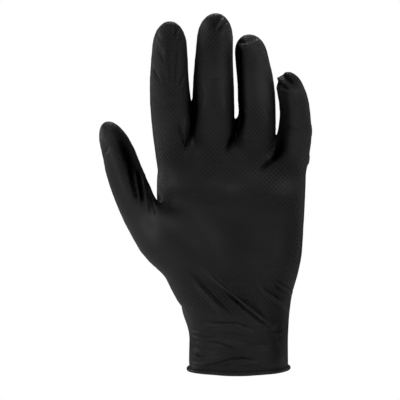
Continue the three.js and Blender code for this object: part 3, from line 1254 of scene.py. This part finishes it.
# Charts of the film's forms, folds and grip, chosen in the photograph's pixels: where the film
# swells, is filled out, blends softly, is slack, takes painted light and shade, folds, and shows its
# grip more or less; then the digits' middle lines and the heights of their roots.

SWELLS = (
    Swell((166, 180), (14, 13), 0.5),
    Swell((212, 182), (16, 11), 0.4),
    Swell((250, 182), (16, 11), 0.4),
    Swell((284, 186), (15, 14), 0.5),
    Swell((151, 226), (13, 20), 0.9, turn=-30.0),
    Swell((272, 250), (20, 36), 0.4),
)

FILLS = (
    Fold(((156, 204), (176, 214), (196, 232), (210, 252), (214, 272)), 10.0, 2.6),
    Fold(((165, 205), (175, 208), (186, 212)), 8.0, 3.2),
)

BLENDS = (
    Swell((200, 232), (42, 30), 1.0, turn=45.0),
    Swell((182, 222), (24, 22), 1.0),
    Swell((186, 262), (24, 30), 1.0, turn=-35.0),
    Swell((214, 262), (34, 36), 1.0),
    Swell((244, 214), (34, 26), 1.0),
    Swell((184, 164), (22, 20), 0.7),
    Swell((214, 170), (28, 16), 0.7),
    Swell((254, 174), (28, 16), 0.7),
    Swell((284, 182), (16, 20), 0.7),
    Swell((200, 316), (16, 20), 0.6),
    Swell((176, 172), (30, 30), 0.8, side=Side.BACK),
    Swell((216, 172), (30, 30), 0.8, side=Side.BACK),
    Swell((258, 178), (30, 30), 0.8, side=Side.BACK),
    Swell((288, 184), (20, 30), 0.7, side=Side.BACK),
    Swell((186, 240), (36, 60), 1.0, turn=-25.0, side=Side.BACK),
)

SLACK = (
    Swell((238, 350), (75, 34), 0.9),
    Swell((240, 300), (60, 30), 0.6),
    Swell((140, 190), (18, 26), 0.4),
    Swell((190, 118), (10, 36), 0.6),
    Swell((236, 118), (10, 40), 0.6),
    Swell((274, 138), (12, 34), 0.6),
    Swell((308, 140), (8, 36), 0.5),
    Swell((154, 100), (7, 40), 0.4),
    Swell((168, 45), (20, 26), 0.5),
    Swell((215, 25), (18, 14), 0.4),
    Swell((248, 44), (16, 12), 0.4),
    Swell((288, 84), (16, 12), 0.5),
    Swell((238, 350), (75, 34), 0.9, side=Side.BACK),
    Swell((240, 300), (60, 34), 0.7, side=Side.BACK),
)

# Painted light and shade: patches painted lighter where light falls, on the pads, the thenar and open
# finger flanks, and darker where shade falls, on the flanks between fingers, the thumb's inner side
# and the webs.
PAINTED_TONES = (
    Swell((165, 178), (10, 12), 1.7),
    Swell((160, 120), (8, 46), 0.6),
    Swell((165, 136), (10, 28), 0.7),
    Swell((158, 60), (5, 26), 0.5),
    Swell((159, 32), (4, 14), 0.7),
    Swell((183, 34), (4, 12), 0.5),
    Swell((181, 74), (6, 34), 0.3),
    Swell((151, 225), (9, 15), 1.5, turn=-15.0),
    Swell((140, 222), (13, 22), 0.5, turn=-30.0),
    Swell((232, 188), (10, 5), 0.6),
    Swell((214, 184), (10, 7), 0.3),
    Swell((286, 186), (14, 9), 1.1),
    Swell((262, 176), (12, 8), 0.3),
    Swell((262, 66), (7, 38), 0.6, turn=-10.0),
    Swell((257, 44), (8, 10), 1.1),
    Swell((262, 54), (5, 12), 0.6),
    Swell((266, 98), (8, 26), 0.9),
    Swell((225, 70), (7, 38), 1.2),
    Swell((204, 84), (7, 24), 0.3),
    Swell((202, 30), (5, 14), 1.7),
    Swell((228, 31), (6, 15), 2.0),
    Swell((214, 22), (5, 6), -0.2, turn=-30.0),
    Swell((222, 21), (2.5, 6), 1.0, turn=35.0),
    Swell((297, 90), (5, 6), 0.5),
    Swell((112, 152), (4, 20), 0.5, turn=-16.0),
    Swell((107, 138), (6, 14), 0.3),
    Swell((128, 192), (8, 16), 0.15, turn=-20.0),
    Swell((303, 140), (6, 30), 0.2),
    Swell((168, 250), (20, 36), 0.2, turn=-35.0),
    Swell((232, 240), (50, 40), -0.3),
    Swell((170, 30), (8, 9), 0.25),
    Swell((213, 130), (12, 30), 0.15),
    Swell((252, 178), (16, 10), 0.25),
    Swell((290, 240), (12, 50), -0.25),
    Swell((280, 308), (14, 30), -0.5),
    Swell((281, 346), (9, 28), -0.45),
    Swell((254, 350), (32, 24), -0.25),
    Swell((186, 231), (15, 6), -0.3, turn=32.0),
    Swell((193.5, 348), (5.5, 22), -0.7),
    Swell((158, 186), (3.5, 20), -0.6),
    Swell((159, 199), (5, 6), -0.7),
    Swell((240, 68), (5, 30), -1.1),
    Swell((236, 53), (4.5, 10), -1.2),
    Swell((241, 106), (4, 26), -0.7),
    Swell((284, 118), (6, 32), -0.6),
    Swell((281, 142), (4.5, 18), -0.6),
    Swell((287, 78), (8, 4), -0.4, turn=35.0),
    Swell((124, 154), (5.5, 30), -0.85, turn=-21.0),
    Swell((130, 160), (5, 26), -0.6, turn=-21.0),
    Swell((143, 190), (7, 18), -0.5, turn=-19.0),
    Swell((193, 107), (5, 15), -1.4),
    Swell((193, 128), (2.5, 14), -0.6, turn=8.0),
    Swell((186, 139), (3.5, 9), -0.45, turn=25.0),
    Swell((239, 119), (5.5, 14), -1.4, turn=8.0),
    Swell((233, 138), (3, 12), -0.6, turn=28.0),
    Swell((196, 84), (3, 30), -0.6),
    Swell((277, 154), (5, 11), -0.9, turn=20.0),
    Swell((268, 166), (8, 2.5), -0.5, turn=-40.0),
    Swell((244, 303), (28, 4), -0.3, turn=38.0),
)

FOLDS = (
    Fold(((200, 269), (210, 277), (229, 292), (246, 306), (261, 318), (274, 327)), 2.0, 1.6),
    Fold(((222, 291), (233, 299), (246, 310), (258, 320), (269, 327)), 1.6, -1.3),
    Fold(((241, 297), (254, 307), (264, 317), (271, 325)), 1.4, -0.9),
    Fold(((188, 269), (199, 282), (213, 297), (232, 316)), 1.9, -1.1),
    Fold(((193, 280), (208, 298), (222, 313)), 2.6, 1.1),
    Fold(((258, 286), (270, 296), (286, 309)), 2.0, 0.9),
    Fold(((262, 287), (271, 293), (281, 300)), 1.3, -0.75),
    Fold(((275, 279), (283, 285), (293, 290)), 1.1, -0.6, wraps=True),
    Fold(((274, 281.5), (282, 287.5), (292, 293)), 1.1, 0.7, wraps=True),
    Fold(((274, 284), (281, 290), (290, 296)), 1.1, -0.55, wraps=True),
    Fold(((242, 295), (248, 297), (255, 301)), 1.1, -0.4),
    Fold(((246, 300), (252, 302), (259, 306)), 1.1, -0.3),
    Fold(((202, 321), (218, 323), (237, 323), (253, 329)), 1.2, -1.1),
    Fold(((200, 325), (216, 328), (236, 328), (256, 335)), 2.6, 0.3),
    Fold(((207, 327), (220, 329)), 1.0, -0.7),
    Fold(((192, 334), (204, 337), (216, 337)), 1.1, -0.8, wraps=True),
    Fold(((205, 341), (219, 343), (227, 346), (236, 349)), 1.2, -1.0),
    Fold(((196, 339), (214, 340), (234, 344), (252, 349)), 2.6, 0.25),
    Fold(((196, 355), (208, 357)), 1.1, -0.8),
    Fold(((199, 367), (218, 363), (231, 359), (243, 358), (258, 361)), 1.3, -1.2),
    Fold(((204, 362), (220, 358), (236, 353), (252, 353)), 3.2, 0.35),
    Fold(((204, 369), (220, 366), (232, 364)), 1.2, -0.9),
    Fold(((271, 332), (283, 332.5)), 1.2, -0.22, wraps=True),
    Fold(((271, 334.5), (282, 335)), 1.2, 0.3, wraps=True),
    Fold(((191, 329), (202, 331), (212, 330)), 1.3, -0.4, wraps=True),
    Fold(((190, 339), (198, 341), (206, 340)), 1.3, -0.35, wraps=True),
    Fold(((197, 347.5), (207, 348.5), (215, 351)), 1.1, -0.5),
    Fold(((222, 332), (240, 334), (256, 339)), 1.3, -0.35),
    Fold(((238, 340), (254, 344), (270, 345)), 1.3, -0.3),
    Fold(((191, 361), (200, 362), (212, 360)), 1.3, -0.35, wraps=True),
    Fold(((236, 367), (250, 366), (268, 368)), 1.3, -0.45),
    Fold(((262, 330), (272, 337), (276, 348)), 3.5, 0.5),
    Fold(((129, 166), (132.5, 184), (137.5, 203)), 1.9, -1.7, wraps=True),
    Fold(((138, 168), (140.5, 186), (142.5, 206)), 2.0, -1.9, wraps=True),
    Fold(((145, 178), (148, 194), (151.5, 214)), 1.8, -1.6, wraps=True),
    Fold(((151, 194), (153.5, 203), (156, 215)), 1.6, -1.0, wraps=True),
    Fold(((134, 170), (136.5, 186), (140.5, 205)), 1.7, 1.1, wraps=True),
    Fold(((142, 176), (144.3, 190), (147.5, 211)), 1.7, 1.1, wraps=True),
    Fold(((104, 155), (113, 142)), 1.5, -0.4),
    Fold(((178, 27), (175, 40)), 1.5, -0.75),
    Fold(((180, 27), (177, 41)), 1.6, 0.6),
    Fold(((157, 38), (162, 47), (167, 55)), 1.5, 0.83),
    Fold(((158, 50), (161, 57), (164, 64)), 1.4, -0.75),
    Fold(((153, 68), (157, 77), (162, 86)), 1.4, -0.75, wraps=True),
    Fold(((185, 72), (183, 79), (180, 87)), 1.4, -0.75, wraps=True),
    Fold(((163, 24), (161, 32), (164, 42)), 2.4, 0.7),
    Fold(((165, 42), (165, 56), (168, 78)), 1.6, 0.5),
    Fold(((169, 44), (168, 60), (171, 86)), 1.5, -0.45),
    Fold(((174, 48), (173, 64), (172, 90)), 1.6, 0.4),
    Fold(((178, 46), (178, 60), (175, 84)), 1.5, -0.45),
    Fold(((160, 62), (162, 74), (166, 90)), 1.5, -0.55),
    Fold(((157, 98), (166, 101), (177, 100)), 2.2, 0.4),
    Fold(((202, 83), (205, 94), (203, 108)), 2.2, 0.55),
    Fold(((221, 85), (224, 96), (226, 110)), 2.2, 0.45),
    Fold(((200, 78), (213, 80), (227, 78)), 2.2, -0.35),
    Fold(((240, 104), (246, 111)), 1.5, 0.6, fades=False),
    Fold(((261, 103), (266, 112), (268, 122)), 2.2, 0.5),
    Fold(((286, 126), (294, 129), (303, 127)), 2.2, -0.35),
    Fold(((224, 18), (220, 24), (215, 31)), 1.5, 1.7),
    Fold(((228, 20), (223.5, 25), (219, 32)), 1.3, -1.3),
    Fold(((220.5, 18), (216.5, 24), (212, 29)), 1.6, -1.1),
    Fold(((211, 15), (208, 22), (206, 32)), 2.6, 0.8),
    Fold(((230, 24), (226, 30), (222, 38)), 1.5, 0.5),
    Fold(((238.5, 41), (242, 42.5), (246, 44.5)), 1.8, -1.4),
    Fold(((238, 47), (248, 46), (261, 40)), 2.0, 1.1),
    Fold(((277, 77), (284, 82.5), (291, 87)), 1.5, 1.3, wraps=True),
    Fold(((280, 73), (288, 78), (295, 84)), 1.7, -1.2, wraps=True),
    Fold(((277, 82), (283, 86), (290, 90)), 1.5, -1.0, wraps=True),
    Fold(((277, 88), (287, 90.5), (299, 91)), 1.6, 1.0, wraps=True),
    Fold(((308.5, 124), (310, 130), (309.5, 137)), 2.0, 0.8, wraps=True),
    Fold(((307.5, 154), (308.5, 159), (307.5, 165)), 1.8, 0.7, wraps=True),
    Fold(((194, 104), (193.5, 122), (191, 136), (186, 150)), 2.0, -1.7, wraps=True),
    Fold(((186, 118), (184, 130), (185, 142)), 2.0, 0.7),
    Fold(((178, 122), (181, 134), (186, 145)), 1.5, -1.0),
    Fold(((238, 104), (237.5, 122), (234, 136), (227, 153)), 2.2, -1.6, wraps=True),
    Fold(((277, 146), (276, 156), (268, 163), (260, 171)), 2.2, -1.3, wraps=True),
    Fold(((244, 46), (246, 66), (248, 90), (248, 116), (245, 136)), 5.5, 2.6, fades=False),
    Fold(((290, 92), (293, 106), (293, 128), (290, 150)), 5.0, 2.2, fades=False),
    Fold(((107, 130), (111, 142), (117, 158), (124, 178), (133, 202)), 5.0, 1.7),
    Fold(((158, 185), (185, 188), (213, 190), (240, 190), (264, 195), (293, 199)), 7.0, 1.0),
    Fold(((160, 200), (190, 203), (220, 204), (250, 205), (286, 212)), 7.5, -0.9),
    Fold(((268, 156), (274, 163), (282, 166)), 1.6, 0.4),
    Fold(((245, 262), (258, 264), (272, 262)), 1.6, 0.27),
    Fold(((252, 270), (264, 272), (276, 270)), 1.6, 0.22),
    Fold(((188, 298), (214, 292), (246, 300), (282, 292)), 3.0, -0.7, Side.BACK),
    Fold(((190, 314), (222, 318), (256, 310), (286, 316)), 3.0, 0.7, Side.BACK),
    Fold(((196, 330), (228, 326), (262, 334)), 2.4, -0.6, Side.BACK),
    Fold(((206, 346), (240, 350), (276, 344)), 2.6, 0.5, Side.BACK),
    Fold(((158, 104), (170, 101), (184, 105)), 1.8, -0.45, Side.BACK),
    Fold(((202, 102), (214, 99), (226, 103)), 1.8, -0.45, Side.BACK),
    Fold(((244, 112), (255, 109), (268, 113)), 1.8, -0.45, Side.BACK),
    Fold(((284, 130), (294, 127), (304, 131)), 1.7, -0.4, Side.BACK),
)

UNEVEN = (
    Swell((222, 240), (58, 36), -0.45),
    Swell((152, 238), (30, 46), -0.6),
    Swell((211, 72), (12, 14), -0.45),
    Swell((255, 84), (14, 20), -0.6),
    Swell((293, 104), (12, 14), -0.5),
    Swell((108, 156), (8, 46), -0.6, turn=-14.0),
    Swell((170, 30), (12, 12), 1.6),
    Swell((222, 36), (14, 26), 1.5),
    Swell((256, 48), (14, 14), 1.6),
    Swell((290, 80), (12, 10), 1.0),
    Swell((163, 104), (14, 20), 0.7),
    Swell((222, 100), (10, 22), 0.6),
    Swell((264, 122), (12, 24), 1.2),
    Swell((303, 120), (8, 26), 0.5),
    Swell((166, 150), (16, 22), 1.3),
    Swell((214, 162), (24, 26), 0.9),
    Swell((262, 168), (22, 20), 0.8),
    Swell((284, 180), (20, 18), 1.7),
    Swell((298, 252), (8, 40), 1.1),
    Swell((224, 296), (20, 14), 1.0),
    Swell((124, 152), (9, 34), 0.5, turn=-19.0),
    Swell((170, 60), (22, 44), 0.5, side=Side.BACK),
    Swell((215, 60), (22, 48), 0.5, side=Side.BACK),
    Swell((256, 76), (22, 44), 0.5, side=Side.BACK),
    Swell((294, 110), (18, 36), 0.5, side=Side.BACK),
    Swell((230, 210), (80, 70), 0.4, side=Side.BACK),
)

FINGER_LINES = (
    DigitLine(
        ((169.5, 20, 15), (169.5, 46, 17), (169, 80, 19), (170, 100, 20), (173, 128, 20.5),
         (176, 180, 20.5))
    ),
    DigitLine(
        ((216, 12, 15), (214.5, 36, 17.5), (213, 80, 20), (213, 100, 20.5), (213, 125, 21.5),
         (214, 182, 21.5))
    ),
    DigitLine(
        ((247, 35, 15), (251, 53, 16), (255, 85, 18), (256, 110, 19), (254.5, 135, 20.5),
         (254, 187, 20.5))
    ),
    DigitLine(
        ((287, 71, 12), (292, 90, 13.5), (294.5, 115, 15), (293.5, 135, 17), (290, 155, 18),
         (288, 198, 17.5))
    ),
)
FINGER_ROOTS = (152.0, 152.0, 154.0, 168.0)

THUMB_LINE = DigitLine(
    ((107.5, 119, 11), (112, 135, 12.5), (118, 150, 15), (124, 170, 17), (131.5, 190, 18.6),
     (141, 212, 20.5), (156, 236, 21), (172, 262, 22), (190, 290, 21), (205, 320, 20))
)


def main() -> None:
    """Builds the scene."""
    logging.basicConfig(level=logging.INFO, format="%(name)s: %(message)s")
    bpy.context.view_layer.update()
    view = PhotoView()
    grip = GripChart(FINGER_LINES, THUMB_LINE, UNEVEN, FINGER_ROOTS)
    film = GloveFilm("glove", SWELLS, FILLS, BLENDS, FOLDS, SLACK, PAINTED_TONES, grip, RolledEdge(), view)
    piece = film.build(NitrileFinish().build())
    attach(piece, "root")
    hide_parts("glove")
    Studio().build(Vector(view.target))
    view.place_camera()


if __name__ == "__main__":
    main()
